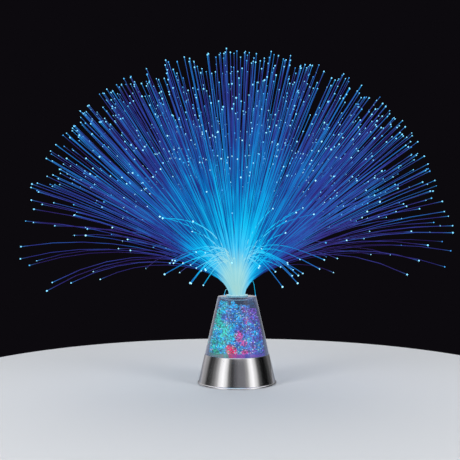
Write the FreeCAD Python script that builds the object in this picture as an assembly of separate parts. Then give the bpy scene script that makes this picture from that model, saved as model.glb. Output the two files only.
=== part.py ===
# Battery fibre-optic lamp: a metallised base, a clear cone filled with crystals and a plug-in
# fountain of light fibres. Millimetres, +Z up, origin on the table under the middle of the foot.
import FreeCAD
import Part

import math
import os
import random

from FreeCAD import Vector

# Three AA cells lie side by side across the foot.
cell_diameter = 14.5
cell_length = 50.5
cell_nub_diameter = 5.5
cell_nub_height = 1.0
cell_count = 3
cell_pitch = 15.0
bay_gap = 0.3
bay_wall = 1.5
contact_thickness = 0.5
contact_width = 10.0
contact_height = 11.0
spring_length = 3.8
spring_wire = 0.7
spring_turns = 2.0
spring_plate_radius = 4.2
spring_cell_radius = 2.6
spring_sides = 6
tab_length = 1.7
tab_width = 3.0
tab_slot_gap = 0.2
cut_overrun = 1.0

# Base shell: a tapered band with a lip at the foot and a ledge inside its top.
shell_wall = 1.8
shell_bay_gap = 0.6
band_height = 32.0
lip_height = 2.2
lip_proud = 0.8
ledge_thickness = 1.8
ledge_width = 4.5

# Clear container: the cone goes on from the band up to a flat cap.
cone_height = 95.0
cap_radius = 21.0
container_wall = 2.2
cap_thickness = 2.5
floor_thickness = 4.0
floor_gap = 0.1
tube_radius = 11.6
tube_wall = 2.0
tube_gap = 0.1

# Bottom tray, battery door and switch.
foot_recess = 1.6
plate_thickness = 2.6
plate_gap = 0.25
door_thickness = 1.6
door_ledge = 1.5
door_gap = 0.3
hinge_pin_radius = 0.6
hinge_pin_length = 1.2
grip_width = 10.0
grip_length = 3.0
grooves_count = 3
groove_pitch = 3.0
groove_width = 1.2
groove_depth = 0.4
boss_radius = 3.2
boss_height = 14.0
boss_edge_gap = 0.6
boss_azimuths = (69.0, 249.0)
screw_radius = 1.1
screw_head_radius = 2.8
screw_head_height = 1.2
screw_length = 11.0
switch_length = 16.0
switch_width = 7.0
switch_height = 6.0
switch_bay_gap = 2.5
switch_travel = 4.0
knob_length = 5.0
knob_width = 4.0
knob_drop = 1.0
ridge_gap = 0.5
ridge_depth = 0.4
stem_length = 3.0
stem_width = 2.4
stem_gap = 0.3
terminal_height = 1.2
terminal_width = 1.0
terminal_depth = 1.6
terminal_offset = 3.2

# Circuit board and what is soldered on it.
board_thickness = 1.6
board_lift = 1.2
board_margin = 2.3
board_sides = 8
post_size = 3.0
post_spacing = 20.0
led_size = 5.0
led_thickness = 1.6
led_package_thickness = 1.2
led_window = 3.6
centre_led_radius = 4.0
centre_led_gap = 0.5
led_ring_radius = 24.0
led_azimuths = {"green_leds": (210.0, 30.0), "red_leds": (262.0, 82.0), "blue_leds": (322.0, 142.0)}
chip_size = (6.0, 5.0, 1.6)
chip_place = (0.0, -12.0)
resistor_size = (3.2, 1.6, 0.8)
resistor_radius = 16.0
resistor_azimuths = (185.0, 235.0, 305.0)
lead_radius = 0.55
# Each lead passes through points given as outward offset, offset along Y and share of its rise.
battery_lead_route = ((0, 0, 0), (0.6, 0, 0.25), (0.9, 0.4, 0.6), (0.2, 1.2, 0.87), (-0.6, 1.6, 1))
switch_lead_route = ((0, 0, 0), (0.5, 0.8, 0.3), (0.5, 0.6, 0.65), (0, -1.2, 1))

# Crystal fill.
stone_size = 11.2
stone_wall_gap = 0.15
stone_jitter = 1.6
stone_spread = 1.75
stone_reach = 2.2
fill_height = 81.0
fill_slope = -0.22
fill_tilt = 0.45

# Fibre fountain.
plug_gap = 0.08
plug_length = 22.0
flange_radius = 12.0
flange_thickness = 1.8
fiber_diameter = 0.75
fiber_length = 266.5
fiber_spread = 0.04
fiber_crop = 0.08
fiber_count = 144
fiber_edge_gap = 0.4
flare_angle = 64.0
flare_reach = 15.0
flare_power = 0.48
sag_angle = 50.0
sag_power = 5.0
sag_onset = 1.1
fiber_steps = 120
fiber_spans = 3
span_turn = 30.0
span_bias = 1.7
fiber_tiers = {"fibers_crown": (0.0, 28.0), "fibers_middle": (28.0, 52.0),
               "fibers_side": (52.0, 76.0), "fibers_low": (76.0, 180.0)}

# Sizes that follow from the ones above.
axis_z = Vector(0, 0, 1)
golden_angle = math.pi * (3.0 - math.sqrt(5.0))
point_gap = 1e-6
cell_radius = cell_diameter / 2
cell_rows = [cell_pitch * (k - (cell_count - 1) / 2) for k in range(cell_count)]
bay_half_length = (cell_length + spring_length + 2 * contact_thickness) / 2
bay_half_width = cell_rows[-1] + cell_radius + bay_gap
tray_half_length = bay_half_length + bay_wall
tray_half_width = bay_half_width + bay_wall
cell_axis_z = foot_recess + door_thickness + bay_gap + cell_radius
tray_radius = cell_radius + bay_gap + bay_wall
tray_top = cell_axis_z + tray_radius
plate_top = foot_recess + plate_thickness
board_bottom = tray_top + board_lift
board_top = board_bottom + board_thickness
floor_top = band_height + floor_thickness
cap_bottom = cone_height - cap_thickness
tube_bore_radius = tube_radius - tube_wall
bundle_radius = tube_bore_radius - plug_gap
bundle_bottom = cone_height - plug_length
bundle_top = cone_height + flange_thickness
fiber_radius = fiber_diameter / 2

# The foot is as wide as the corners of the battery bay need.
corner_radius = math.hypot(tray_half_length, tray_half_width) + shell_bay_gap + shell_wall
corner_height = cell_axis_z / cone_height
foot_radius = (corner_radius - cap_radius * corner_height) / (1 - corner_height)


def cone_radius(z):
    return foot_radius + (cap_radius - foot_radius) * z / cone_height


def shell_radius(z):
    return cone_radius(z) - shell_wall


def container_radius(z):
    return cone_radius(z) - container_wall


plate_radius = shell_radius(plate_top) - plate_gap
board_radius = shell_radius(board_top) - board_margin
ledge_bore = cone_radius(band_height) - ledge_width
centre_led_height = band_height - centre_led_gap - board_top
boss_circle = shell_radius(plate_top) - boss_radius - boss_edge_gap
screw_grip = plate_thickness - screw_head_height
switch_y = tray_half_width + switch_bay_gap + switch_width / 2
switch_rest_x = -switch_travel / 2
hinge_x = -(bay_half_length + door_ledge - door_gap - door_thickness / 2)
hinge_z = foot_recess + door_thickness / 2


def revolved(profile):
    points = [Vector(r, 0, z) for r, z in profile]
    face = Part.Face(Part.makePolygon(points + points[:1]))
    return face.revolve(Vector(), axis_z, 360)


def block(x0, x1, y0, y1, z0, z1):
    return Part.makeBox(x1 - x0, y1 - y0, z1 - z0, Vector(x0, y0, z0))


def rod(radius, start, end):
    return Part.makeCylinder(radius, (end - start).Length, start, end - start)


def at_azimuth(radius, degrees, z):
    angle = math.radians(degrees)
    return Vector(radius * math.cos(angle), radius * math.sin(angle), z)


def fused(pieces):
    return pieces[0].multiFuse(pieces[1:]).removeSplitter()


def solid_from(faces):
    solid = Part.makeSolid(Part.makeShell([Part.Face(Part.makePolygon(f + f[:1])) for f in faces]))
    return solid if solid.Volume > 0 else solid.reversed()


def on_plane(point, direction, origin, normal):
    return point + direction * ((origin - point).dot(normal) / direction.dot(normal))


# A thin round strand along a path, drawn as a mitred prism of the same section area.
def strand(points, radius, sides=3, start_normal=None, end_normal=None):
    steps = [(b - a).normalize() for a, b in zip(points, points[1:])]
    across = steps[0].cross(axis_z if abs(steps[0].z) < 0.9 else Vector(1, 0, 0)).normalize()
    upward = steps[0].cross(across)
    reach = radius * math.sqrt(2 * math.pi / (sides * math.sin(2 * math.pi / sides)))
    angles = [2 * math.pi * k / sides for k in range(sides)]
    ring = [points[0] + (across * math.cos(a) + upward * math.sin(a)) * reach for a in angles]
    first = start_normal or steps[0]
    ring = [on_plane(p, steps[0], points[0], first) for p in ring]
    faces = [ring]
    joints = [a + b for a, b in zip(steps, steps[1:])] + [end_normal or steps[-1]]
    for k, (step, normal) in enumerate(zip(steps, joints)):
        following = [on_plane(p, step, points[k + 1], normal) for p in ring]
        for i in range(sides):
            j = (i + 1) % sides
            faces.append([ring[i], ring[j], following[j], following[i]])
        ring = following
    faces.append(ring)
    return solid_from(faces)


def boss_places():
    return [at_azimuth(boss_circle, azimuth, 0) for azimuth in boss_azimuths]


def base_shell():
    ledge_bottom = band_height - ledge_thickness
    band = revolved([
        (shell_radius(0), 0),
        (cone_radius(0) + lip_proud, 0),
        (cone_radius(lip_height), lip_height),
        (cone_radius(band_height), band_height),
        (ledge_bore, band_height),
        (ledge_bore, ledge_bottom),
        (shell_radius(ledge_bottom), ledge_bottom)])
    skin = revolved([(0, 0), (cone_radius(0) - shell_wall / 2, 0),
                     (cone_radius(band_height) - shell_wall / 2, band_height), (0, band_height)])
    bosses = []
    pilots = []
    for place in boss_places():
        foot = place + axis_z * plate_top
        bosses.append(rod(boss_radius, foot, foot + axis_z * boss_height).common(skin))
        pilots.append(rod(screw_radius, foot, foot + axis_z * (screw_length - screw_grip)))
    return fused([band] + bosses).cut(pilots)


# A pan-head screw sits in a counterbore under the tray plate.
def base_screws():
    screws = []
    for place in boss_places():
        seat = place + axis_z * (foot_recess + screw_head_height)
        head = rod(screw_head_radius, place + axis_z * foot_recess, seat)
        screws.append(head.fuse(rod(screw_radius, seat, seat + axis_z * screw_length)))
    return screws


def cell_troughs(radius, half_length, half_width, bottom):
    troughs = [block(-half_length, half_length, -half_width, half_width, bottom, cell_axis_z)]
    for y in cell_rows:
        ends = [Vector(x, y, cell_axis_z) for x in (-half_length, half_length)]
        troughs.append(rod(radius, ends[0], ends[1]))
    return fused(troughs)


def post_places():
    half = post_spacing / 2
    return [Vector(x, y, 0) for x in (-half, half) for y in (-cell_pitch / 2, cell_pitch / 2)]


def stem_slot(bottom, top):
    half_length = (stem_length + switch_travel) / 2 + stem_gap
    half_width = stem_width / 2 + stem_gap
    return block(-half_length, half_length, switch_y - half_width, switch_y + half_width, bottom, top)


def bottom_tray():
    plate = Part.makeCylinder(plate_radius, plate_thickness, Vector(0, 0, foot_recess))
    housing = cell_troughs(tray_radius, tray_half_length, tray_half_width, foot_recess)
    half_post = post_size / 2
    post_bottom = cell_axis_z + cell_radius / 2
    posts = [block(p.x - half_post, p.x + half_post, p.y - half_post, p.y + half_post,
                   post_bottom, board_bottom) for p in post_places()]
    bay = cell_troughs(cell_radius + bay_gap, bay_half_length, bay_half_width, 0)
    recess_x = bay_half_length + door_ledge
    recess_y = bay_half_width + door_ledge
    recess_top = foot_recess + door_thickness + bay_gap
    recess = block(-recess_x, recess_x, -recess_y, recess_y, 0, recess_top)
    half_grip = grip_width / 2 + door_gap
    grip_end = recess_x + grip_length + door_gap
    grip = block(0, grip_end, -half_grip, half_grip, 0, recess_top)
    pin_reach = recess_y + hinge_pin_length
    pin_ends = [Vector(hinge_x, y, hinge_z) for y in (-pin_reach, pin_reach)]
    pins = rod(hinge_pin_radius + door_gap, pin_ends[0], pin_ends[1])
    knob_half = (knob_length + switch_travel) / 2 + 2 * stem_gap
    knob_side = knob_width / 2 + 2 * stem_gap
    knob_bay = block(-knob_half, knob_half, switch_y - knob_side, switch_y + knob_side, 0,
                     foot_recess + plate_thickness / 2)
    cuts = [bay, recess, grip, pins, knob_bay, stem_slot(0, plate_top)]
    for side, tab_y in ((1, cell_rows[0]), (-1, cell_rows[-1])):
        slot_x = sorted((side * (bay_half_length - cut_overrun), side * (tray_half_length + cut_overrun)))
        half_tab = tab_width / 2 + tab_slot_gap
        cuts.append(block(slot_x[0], slot_x[1], tab_y - half_tab, tab_y + half_tab,
                          cell_axis_z + tab_slot_gap, cell_axis_z + contact_thickness + 3 * tab_slot_gap))
    for place in boss_places():
        cuts.append(rod(screw_head_radius, place, place + axis_z * (foot_recess + screw_head_height)))
        cuts.append(rod(screw_radius, place, place + axis_z * plate_top))
    return fused([plate, housing] + posts).cut(cuts)


def battery_door():
    half_x = bay_half_length + door_ledge - door_gap
    half_y = bay_half_width + door_ledge - door_gap
    top = foot_recess + door_thickness
    lid = block(hinge_x, half_x, -half_y, half_y, foot_recess, top)
    edge_ends = [Vector(hinge_x, y, hinge_z) for y in (-half_y, half_y)]
    rolled_edge = rod(door_thickness / 2, edge_ends[0], edge_ends[1])
    tab = block(0, half_x + grip_length, -grip_width / 2, grip_width / 2, foot_recess, top)
    pin_reach = half_y + hinge_pin_length
    pin_ends = [Vector(hinge_x, y, hinge_z) for y in (-pin_reach, pin_reach)]
    pins = rod(hinge_pin_radius, pin_ends[0], pin_ends[1])
    grooves = []
    for k in range(grooves_count):
        x = half_x - (k + 1) * groove_pitch
        grooves.append(block(x, x + groove_width, -grip_width / 2, grip_width / 2,
                             0, foot_recess + groove_depth))
    return fused([lid, rolled_edge, tab, pins]).cut(grooves)


# The cells alternate: the first and the last have their nub on opposite rows of one series chain.
def cell_direction(row):
    return 1 if row % 2 == 0 else -1


def cell(row):
    forward = cell_direction(row)
    tip_x = forward * (bay_half_length - contact_thickness)
    along = Vector(forward, 0, 0)
    tip = Vector(tip_x, cell_rows[row], cell_axis_z)
    shoulder = tip - along * cell_nub_height
    body = rod(cell_radius, tip - along * cell_length, shoulder)
    return body.fuse(rod(cell_nub_diameter / 2, shoulder, tip))


def batteries():
    return [cell(row) for row in range(cell_count)]


# A plate stands behind each end of each cell. Low bridges join neighbours, and the two ends of the
# chain have a solder tab through the wall of the tray instead.
def contact_plates():
    half_height = contact_height / 2
    plates = []
    for side in (-1, 1):
        x0, x1 = sorted((side * (bay_half_length - contact_thickness), side * bay_half_length))
        for row in range(cell_count):
            y = cell_rows[row]
            plate = [block(x0, x1, y - contact_width / 2, y + contact_width / 2,
                           cell_axis_z - half_height, cell_axis_z + half_height)]
            starts_pair = (row % 2 == 0) == (side < 0) and row + 1 < cell_count
            ends_pair = (row % 2 == 1) == (side < 0) and row > 0
            if starts_pair:
                plate.append(block(x0, x1, y, y + cell_pitch, cell_axis_z - half_height, cell_axis_z))
            if not starts_pair and not ends_pair:
                tab_x = sorted((x0 if side > 0 else x1, side * (tray_half_length + tab_length)))
                tab_bottom = cell_axis_z + 2 * tab_slot_gap
                plate.append(block(tab_x[0], tab_x[1], y - tab_width / 2, y + tab_width / 2,
                                   tab_bottom, tab_bottom + contact_thickness))
            if ends_pair:
                plates[-1] = fused([plates[-1]] + plate)
            else:
                plates.append(fused(plate) if len(plate) > 1 else plate[0])
    return plates


def contact_springs():
    springs = []
    for row in range(cell_count):
        side = -cell_direction(row)
        plate_x = bay_half_length - contact_thickness - spring_wire
        cell_x = plate_x - spring_length + 2 * spring_wire
        path = []
        for k in range(int(spring_turns * spring_sides) + 1):
            share = k / (spring_turns * spring_sides)
            radius = spring_plate_radius + (spring_cell_radius - spring_plate_radius) * share
            angle = 2 * math.pi * k / spring_sides
            path.append(Vector(side * (plate_x + (cell_x - plate_x) * share),
                               cell_rows[row] + radius * math.cos(angle),
                               cell_axis_z + radius * math.sin(angle)))
        springs.append(strand(path, spring_wire / 2))
    return springs


# The lead bows out past the corner of the tray and comes back in under the board.
def positive_lead():
    tab_top = cell_axis_z + 2 * tab_slot_gap + contact_thickness
    x = tray_half_length + tab_length / 2
    y = cell_rows[0]
    rise = board_bottom - tab_top
    path = [Vector(x + out, y + along, tab_top + rise * share) for out, along, share in battery_lead_route]
    return strand(path, lead_radius, 4, axis_z, axis_z)


def negative_lead():
    lead = positive_lead()
    lead.rotate(Vector(), axis_z, 180)
    return lead


def switch_leads():
    bottom = plate_top + switch_height + terminal_height
    rise = board_bottom - bottom
    leads = []
    for side in (-1, 1):
        path = [Vector(side * (terminal_offset + out), switch_y + along, bottom + rise * share)
                for out, along, share in switch_lead_route]
        leads.append(strand(path, lead_radius, 4, axis_z, axis_z))
    return leads


def switch_body():
    top = plate_top + switch_height
    body = block(-switch_length / 2, switch_length / 2,
                 switch_y - switch_width / 2, switch_y + switch_width / 2, plate_top, top)
    pins = [block(x - terminal_width / 2, x + terminal_width / 2,
                  switch_y - terminal_depth / 2, switch_y + terminal_depth / 2, top, top + terminal_height)
            for x in (-terminal_offset, terminal_offset)]
    return fused([body] + pins).cut(stem_slot(plate_top, plate_top + switch_height / 2))


def switch_knob():
    bottom = foot_recess - knob_drop
    thumb_top = foot_recess + plate_thickness / 2 - stem_gap
    stem_top = plate_top + switch_height / 2 - stem_gap
    thumb = block(switch_rest_x - knob_length / 2, switch_rest_x + knob_length / 2,
                  switch_y - knob_width / 2, switch_y + knob_width / 2, bottom, thumb_top)
    stem = block(switch_rest_x - stem_length / 2, switch_rest_x + stem_length / 2,
                 switch_y - stem_width / 2, switch_y + stem_width / 2, thumb_top, stem_top)
    ridge_places = [switch_rest_x + k * knob_length / 4 for k in (-1, 0, 1)]
    ridges = [block(x - ridge_gap / 2, x + ridge_gap / 2,
                    switch_y - knob_width / 2, switch_y + knob_width / 2, 0, bottom + ridge_depth)
              for x in ridge_places]
    return fused([thumb, stem]).cut(ridges)


# The board is snapped from a panel, with its corners cut, and sits on the posts of the tray.
def circuit_board():
    azimuths = [360 * (k + 0.5) / board_sides for k in range(board_sides)]
    corners = [at_azimuth(board_radius, azimuth, board_bottom) for azimuth in azimuths]
    return Part.Face(Part.makePolygon(corners + corners[:1])).extrude(axis_z * board_thickness)


# A flat coloured LED: a square package with a shallow raised window.
def ring_led(place):
    package = seated_block((led_size, led_size, led_package_thickness), place)
    window = seated_block((led_window, led_window, led_thickness), place)
    return package.fuse(window)


def ring_leds(name):
    return [ring_led(at_azimuth(led_ring_radius, azimuth, 0)) for azimuth in led_azimuths[name]]


def fiber_led():
    foot = axis_z * board_top
    return rod(centre_led_radius, foot, foot + axis_z * centre_led_height)


def seated_block(size, place):
    return block(place.x - size[0] / 2, place.x + size[0] / 2, place.y - size[1] / 2, place.y + size[1] / 2,
                 board_top, board_top + size[2])


def resistors():
    places = [at_azimuth(resistor_radius, azimuth, 0) for azimuth in resistor_azimuths]
    return [seated_block(resistor_size, place) for place in places]


def container_shell():
    hole = tube_radius + tube_gap
    return revolved([
        (container_radius(band_height), band_height),
        (cone_radius(band_height), band_height),
        (cap_radius, cone_height),
        (hole, cone_height),
        (hole, cap_bottom),
        (container_radius(cap_bottom), cap_bottom)])


# The clear floor is moulded with the tube that carries light up to the plug.
def light_well():
    return revolved([
        (tube_bore_radius, band_height),
        (container_radius(floor_top) - floor_gap, band_height),
        (container_radius(floor_top) - floor_gap, floor_top),
        (tube_radius, floor_top),
        (tube_radius, cone_height),
        (tube_bore_radius, cone_height)])


# Crystals: each seed owns the space nearer to it than to any other, cut by the walls around it.
def clipped(faces, origin, normal):
    kept = []
    rim = []
    for face in faces:
        heights = [(p - origin).dot(normal) for p in face]
        trimmed = []
        for k, (p, h) in enumerate(zip(face, heights)):
            q, g = face[k - 1], heights[k - 1]
            if h * g < 0:
                crossing = p + (q - p) * (h / (h - g))
                trimmed.append(crossing)
                rim.append(crossing)
            if h <= 0:
                trimmed.append(p)
        if len(trimmed) > 2:
            kept.append(trimmed)
    if not rim:
        return kept
    middle = sum(rim, Vector()) * (1 / len(rim))
    across = (rim[0] - middle).normalize()
    upward = across.cross(normal).normalize()
    ordered = sorted(rim, key=lambda p: math.atan2((p - middle).dot(upward), (p - middle).dot(across)))
    kept.append([p for k, p in enumerate(ordered) if (p - ordered[k - 1]).Length > point_gap])
    return kept


def stone_seeds(dice):
    seeds = []
    inner = tube_radius + tube_gap
    layers = round((fill_height - floor_top) / stone_size)
    layer_height = (fill_height - floor_top) / layers
    for layer in range(layers):
        z = floor_top + layer_height * (layer + 0.5)
        width = container_radius(z) - inner
        rings = max(1, round(width / stone_size))
        for ring in range(rings):
            radius = inner + width * (ring + 0.5) / rings
            count = round(2 * math.pi * radius / stone_size)
            for k in range(count):
                azimuth = 360 * (k + 0.5 * (ring + layer)) / count
                nudge = [dice.uniform(-1, 1) * stone_jitter for axis in range(3)]
                seed = at_azimuth(radius + nudge[0], azimuth, z)
                seeds.append(seed + at_azimuth(nudge[1], azimuth + 90, nudge[2]))
    return seeds


def crystals():
    dice = random.Random(5)
    seeds = stone_seeds(dice)
    cone_slope = (foot_radius - cap_radius) / cone_height
    stones = []
    for seed in seeds:
        ends = (-stone_size, stone_size)
        corner = [Vector(x, y, z) for z in ends for y in ends for x in ends]
        cube = [(0, 2, 3, 1), (4, 5, 7, 6), (0, 1, 5, 4), (2, 6, 7, 3), (0, 4, 6, 2), (1, 3, 7, 5)]
        stone = [[seed + corner[i] for i in face] for face in cube]
        for other in seeds:
            apart = other - seed
            if 0 < apart.Length < stone_reach * stone_size:
                stone = clipped(stone, seed + apart * 0.5, apart)
        outward = Vector(seed.x, seed.y, 0).normalize()
        stone = clipped(stone, outward * (tube_radius + stone_wall_gap), outward * -1)
        sagitta = (stone_spread * stone_size) ** 2 / (8 * container_radius(seed.z))
        wall_point = outward * (container_radius(seed.z) - sagitta - stone_wall_gap) + axis_z * seed.z
        stone = clipped(stone, wall_point, outward + axis_z * cone_slope)
        stone = clipped(stone, Vector(0, 0, floor_top), axis_z * -1)
        tilt = Vector(dice.uniform(-1, 1) * fill_tilt, dice.uniform(-1, 1) * fill_tilt, 1)
        surface = Vector(seed.x, seed.y, fill_height + fill_slope * seed.x)
        stone = clipped(stone, surface, tilt)
        if len(stone) > 3:
            stones.append(solid_from(stone))
    return stones


# The fibres are potted together into a plug, and a thin collar stops it at the cap.
def fiber_bundle():
    return Part.makeCylinder(bundle_radius, bundle_top - bundle_bottom, Vector(0, 0, bundle_bottom))


def fiber_collar():
    return revolved([(bundle_radius, cone_height), (flange_radius, cone_height),
                     (flange_radius, bundle_top), (bundle_radius, bundle_top)])


# The polar angle of a fibre grows fast just above the flange, then slowly as it sags.
def polar_angle(share, distance, length):
    flare = flare_angle * share ** flare_power * (1 - math.exp(-distance / flare_reach))
    sag = sag_angle * share ** sag_power * (distance / length) ** sag_onset
    return flare + sag


def fiber_path(index, length):
    share = (index + 0.5) / fiber_count
    launch = (bundle_radius - fiber_radius - fiber_edge_gap) * math.sqrt(share)
    azimuth = math.degrees(index * golden_angle)
    tip_angle = polar_angle(share, length, length)
    spans = fiber_spans + round(tip_angle / span_turn)
    stops = [round(fiber_steps * (k / spans) ** span_bias) for k in range(spans + 1)]
    path = []
    out = launch
    up = bundle_top
    for step in range(fiber_steps + 1):
        if step in stops:
            path.append(at_azimuth(out, azimuth, up))
        angle = math.radians(polar_angle(share, length * (step + 0.5) / fiber_steps, length))
        out += math.sin(angle) * length / fiber_steps
        up += math.cos(angle) * length / fiber_steps
    return path, tip_angle


def fiber_tiers_built():
    dice = random.Random(11)
    tiers = {name: [] for name in fiber_tiers}
    for index in range(fiber_count):
        crop = 1 - fiber_crop * (index + 0.5) / fiber_count
        path, tip_angle = fiber_path(index, fiber_length * crop * (1 - fiber_spread * dice.random()))
        for name, (low, high) in fiber_tiers.items():
            if low <= tip_angle < high:
                tiers[name].append(strand(path, fiber_radius, 3, axis_z))
    return tiers


nodes = {
    "base_shell": base_shell(),
    "base_screws": base_screws(),
    "bottom_tray": bottom_tray(),
    "battery_door": battery_door(),
    "batteries": batteries(),
    "contact_plates": contact_plates(),
    "contact_springs": contact_springs(),
    "positive_lead": positive_lead(),
    "negative_lead": negative_lead(),
    "switch_leads": switch_leads(),
    "switch_body": switch_body(),
    "switch_knob": switch_knob(),
    "circuit_board": circuit_board(),
    "fiber_led": fiber_led(),
    "controller_chip": seated_block(chip_size, Vector(chip_place[0], chip_place[1], 0)),
    "resistors": resistors(),
    "container_shell": container_shell(),
    "light_well": light_well(),
    "crystals": crystals(),
    "fiber_collar": fiber_collar(),
    "fiber_bundle": fiber_bundle(),
}
for name in led_azimuths:
    nodes[name] = ring_leds(name)
nodes.update(fiber_tiers_built())

os.makedirs("parts", exist_ok=True)
for name, shape in nodes.items():
    solid = Part.makeCompound(shape) if isinstance(shape, list) else shape
    solid.exportStep(f"parts/{name}.step")
print("stones", len(nodes["crystals"]), "volume", round(sum(x.Volume for x in nodes["crystals"])))
print("foot diameter", round(2 * (foot_radius + lip_proud), 1), "nodes", len(nodes))
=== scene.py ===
# Fibre optic table lamp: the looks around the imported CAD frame.
# Metres, +Z up, the foot stands on z = 0 and the camera looks along +Y. Sizes of pieces are in millimetres.
import random
from functools import partial
from math import cos, exp, hypot, pi, radians, sin, sqrt

import bpy
from mathutils import Matrix, Vector


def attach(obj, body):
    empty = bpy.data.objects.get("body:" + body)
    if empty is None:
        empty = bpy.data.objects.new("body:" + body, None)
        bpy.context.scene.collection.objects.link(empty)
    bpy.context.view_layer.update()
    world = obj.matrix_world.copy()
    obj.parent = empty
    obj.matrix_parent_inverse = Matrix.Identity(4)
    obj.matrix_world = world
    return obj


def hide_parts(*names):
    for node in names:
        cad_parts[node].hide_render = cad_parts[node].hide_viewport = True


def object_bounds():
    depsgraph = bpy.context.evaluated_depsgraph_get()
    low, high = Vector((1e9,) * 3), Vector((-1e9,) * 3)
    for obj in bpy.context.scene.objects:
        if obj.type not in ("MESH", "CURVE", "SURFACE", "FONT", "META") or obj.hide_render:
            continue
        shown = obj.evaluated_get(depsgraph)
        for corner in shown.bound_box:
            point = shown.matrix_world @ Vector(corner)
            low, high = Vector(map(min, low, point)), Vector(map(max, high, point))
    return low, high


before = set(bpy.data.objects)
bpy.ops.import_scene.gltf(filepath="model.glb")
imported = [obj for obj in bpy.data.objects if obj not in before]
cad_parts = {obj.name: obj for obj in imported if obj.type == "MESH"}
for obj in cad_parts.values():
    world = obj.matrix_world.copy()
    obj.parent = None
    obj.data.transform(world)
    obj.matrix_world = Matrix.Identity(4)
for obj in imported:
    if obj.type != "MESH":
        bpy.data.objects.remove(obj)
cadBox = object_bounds()

mm = 0.001
goldenAngle = pi * (3 - sqrt(5))
scene = bpy.context.scene
scene.view_settings.view_transform = "Standard"


# small helpers for finishes

def linearTint(hexCode):
    channels = [int(hexCode[k:k + 2], 16) / 255 for k in (1, 3, 5)]
    return tuple(c / 12.92 if c <= 0.04045 else ((c + 0.055) / 1.055) ** 2.4 for c in channels) + (1.0,)


def feedNode(node, inputs):
    # by name or, as a list, in the order of the sockets. A node stands for its first open output
    for name, value in inputs.items() if isinstance(inputs, dict) else enumerate(inputs):
        if isinstance(value, bpy.types.Node):
            value = next(output for output in value.outputs if output.enabled)
        if isinstance(value, bpy.types.NodeSocket):
            node.id_data.links.new(value, node.inputs[name])
        else:
            node.inputs[name].default_value = linearTint(value) if isinstance(value, str) else value


def addNode(tree, kind, inputs=(), **settings):
    node = tree.nodes.new("ShaderNode" + kind)
    for name, value in settings.items():
        setattr(node, name, value)
    feedNode(node, inputs)
    return node


def fillRamp(node, stops, interpolation="LINEAR"):
    ramp = node.color_ramp
    ramp.interpolation = interpolation
    while len(ramp.elements) > 1:
        ramp.elements.remove(ramp.elements[0])
    ramp.elements[0].position = stops[0][0]
    ramp.elements[0].color = linearTint(stops[0][1])
    for place, hexCode in stops[1:]:
        ramp.elements.new(place).color = linearTint(hexCode)
    return node


def newFinish(name, inputs):
    finish = bpy.data.materials.new(name)
    finish.use_nodes = True
    shader = finish.node_tree.nodes["Principled BSDF"]
    feedNode(shader, inputs)
    return finish, partial(addNode, finish.node_tree), shader


# small helpers for pieces

def deselectAll():
    if bpy.context.object and bpy.context.object.mode != "OBJECT":
        bpy.ops.object.mode_set(mode="OBJECT")
    bpy.ops.object.select_all(action="DESELECT")


def pickOnly(piece):
    deselectAll()
    piece.select_set(True)
    bpy.context.view_layer.objects.active = piece


def smoothEdges(piece, angle=35):
    pickOnly(piece)
    bpy.ops.object.shade_smooth_by_angle(angle=radians(angle))


def turnProfile(name, profile, steps, smooth=40):
    # one point is drawn out along the profile in millimetres (radius, height), then spun round Z
    deselectAll()
    bpy.ops.mesh.primitive_plane_add(size=mm)
    piece = bpy.context.object
    piece.name = name
    bpy.ops.object.mode_set(mode="EDIT")
    bpy.ops.mesh.merge(type="CENTER")
    bpy.ops.transform.translate(value=(profile[0][0] * mm, 0, profile[0][1] * mm))
    for (r0, z0), (r1, z1) in zip(profile, profile[1:]):
        step = ((r1 - r0) * mm, 0, (z1 - z0) * mm)
        bpy.ops.mesh.extrude_vertices_move(TRANSFORM_OT_translate={"value": step})
    bpy.ops.mesh.select_all(action="SELECT")
    bpy.ops.mesh.spin(steps=steps, angle=2 * pi, center=(0, 0, 0), axis=(0, 0, 1))
    bpy.ops.mesh.select_all(action="SELECT")
    bpy.ops.mesh.remove_doubles(threshold=2e-6)
    bpy.ops.mesh.normals_make_consistent(inside=False)
    bpy.ops.object.mode_set(mode="OBJECT")
    smoothEdges(piece, smooth)
    return piece


def bevelEdges(piece, width, segments, angle=40):
    pickOnly(piece)
    bevel = piece.modifiers.new("edge", "BEVEL")
    bevel.width = width
    bevel.segments = segments
    bevel.limit_method = "ANGLE"
    bevel.angle_limit = radians(angle)
    bpy.ops.object.modifier_apply(modifier=bevel.name)


def copyPiece(model, matrix=Matrix()):
    # a copy has its own mesh, with its place in it
    copy = model.copy()
    copy.data = model.data.copy()
    copy.data.transform(matrix)
    copy.data.update()
    scene.collection.objects.link(copy)
    return copy


def setValues(piece, label, domain, values):
    piece.data.attributes.new(label, "FLOAT", domain).data.foreach_set("value", values)


def curvePiece(name, radius, resolution):
    curve = bpy.data.curves.new(name, "CURVE")
    curve.dimensions = "3D"
    curve.bevel_depth = radius
    curve.bevel_resolution = resolution
    piece = bpy.data.objects.new(name, curve)
    scene.collection.objects.link(piece)
    return piece, curve


def meshOfCurve(piece):
    pickOnly(piece)
    bpy.ops.object.convert(target="MESH")
    return bpy.context.object


def joinPieces(pieces, name):
    deselectAll()
    for piece in pieces:
        piece.select_set(True)
    bpy.context.view_layer.objects.active = pieces[0]
    if len(pieces) > 1:
        bpy.ops.object.join()
    bpy.ops.object.transform_apply(location=True, rotation=True, scale=True)
    whole = bpy.context.object
    whole.name = name
    return whole


def coatPiece(piece, finish):
    piece.data.materials.clear()
    piece.data.materials.append(finish)


def dressNode(name, finish):
    coatPiece(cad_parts[name], finish)


def dressPiece(piece, finish, body, slot, *nodes):
    coatPiece(piece, finish)
    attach(piece, body)
    if nodes:
        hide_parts(*nodes)


# camera and studio

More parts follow.
